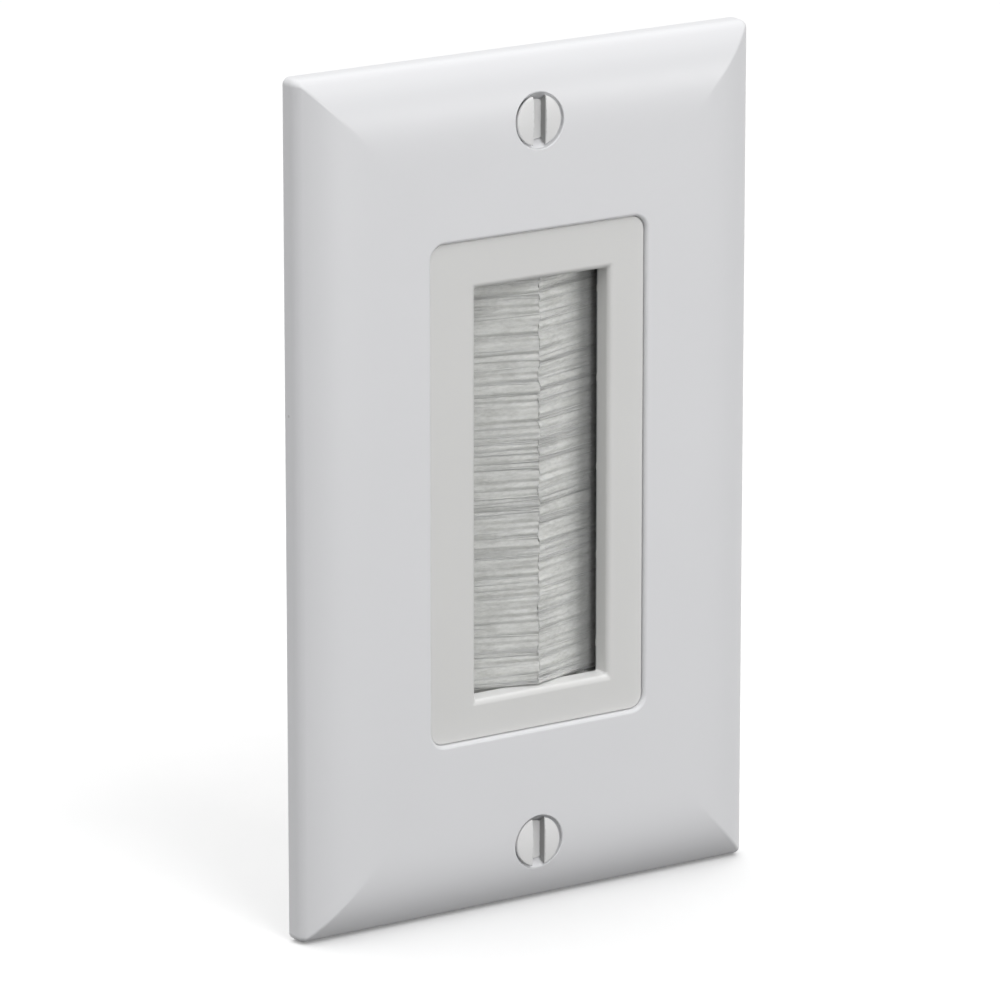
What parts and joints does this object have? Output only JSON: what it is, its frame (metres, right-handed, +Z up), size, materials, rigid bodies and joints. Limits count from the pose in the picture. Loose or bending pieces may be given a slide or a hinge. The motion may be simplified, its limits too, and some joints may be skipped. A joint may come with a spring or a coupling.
{
  "type": "brush wall plate",
  "caption": "One-gang decorator wall plate whose framed insert lets low-voltage cables through facing strip brushes.",
  "frame": {"origin": "middle of the cover plate on the wall plane, where the plate's rear rim and the strap's ears bear", "axes": "+Z up along the plate, +Y into the wall, +X to the right as seen from the room"},
  "size_m": [0.0698, 0.0298, 0.1142],
  "materials": {
    "plate_plastic": "satin",
    "insert_plastic": "satin",
    "bristle_nylon": "translucent",
    "screw_paint": "satin",
    "zinc_steel": "satin",
    "strip_metal": "mill",
    "washer_fibre": "matte"
  },
  "bodies": {
    "root": {"wall_plate": "plate_plastic", "insert_frame": "insert_plastic", "brush_retainer": "insert_plastic", "left_brush_channel": "strip_metal", "left_core_wire": "zinc_steel", "left_bristles": "bristle_nylon", "right_brush_channel": "strip_metal", "right_core_wire": "zinc_steel", "right_bristles": "bristle_nylon", "plate_screw_top": "screw_paint", "plate_screw_bottom": "screw_paint", "box_screw_top": "zinc_steel", "box_screw_bottom": "zinc_steel", "retaining_washer_top": "washer_fibre", "retaining_washer_bottom": "washer_fibre"}
  },
  "joints": []
}
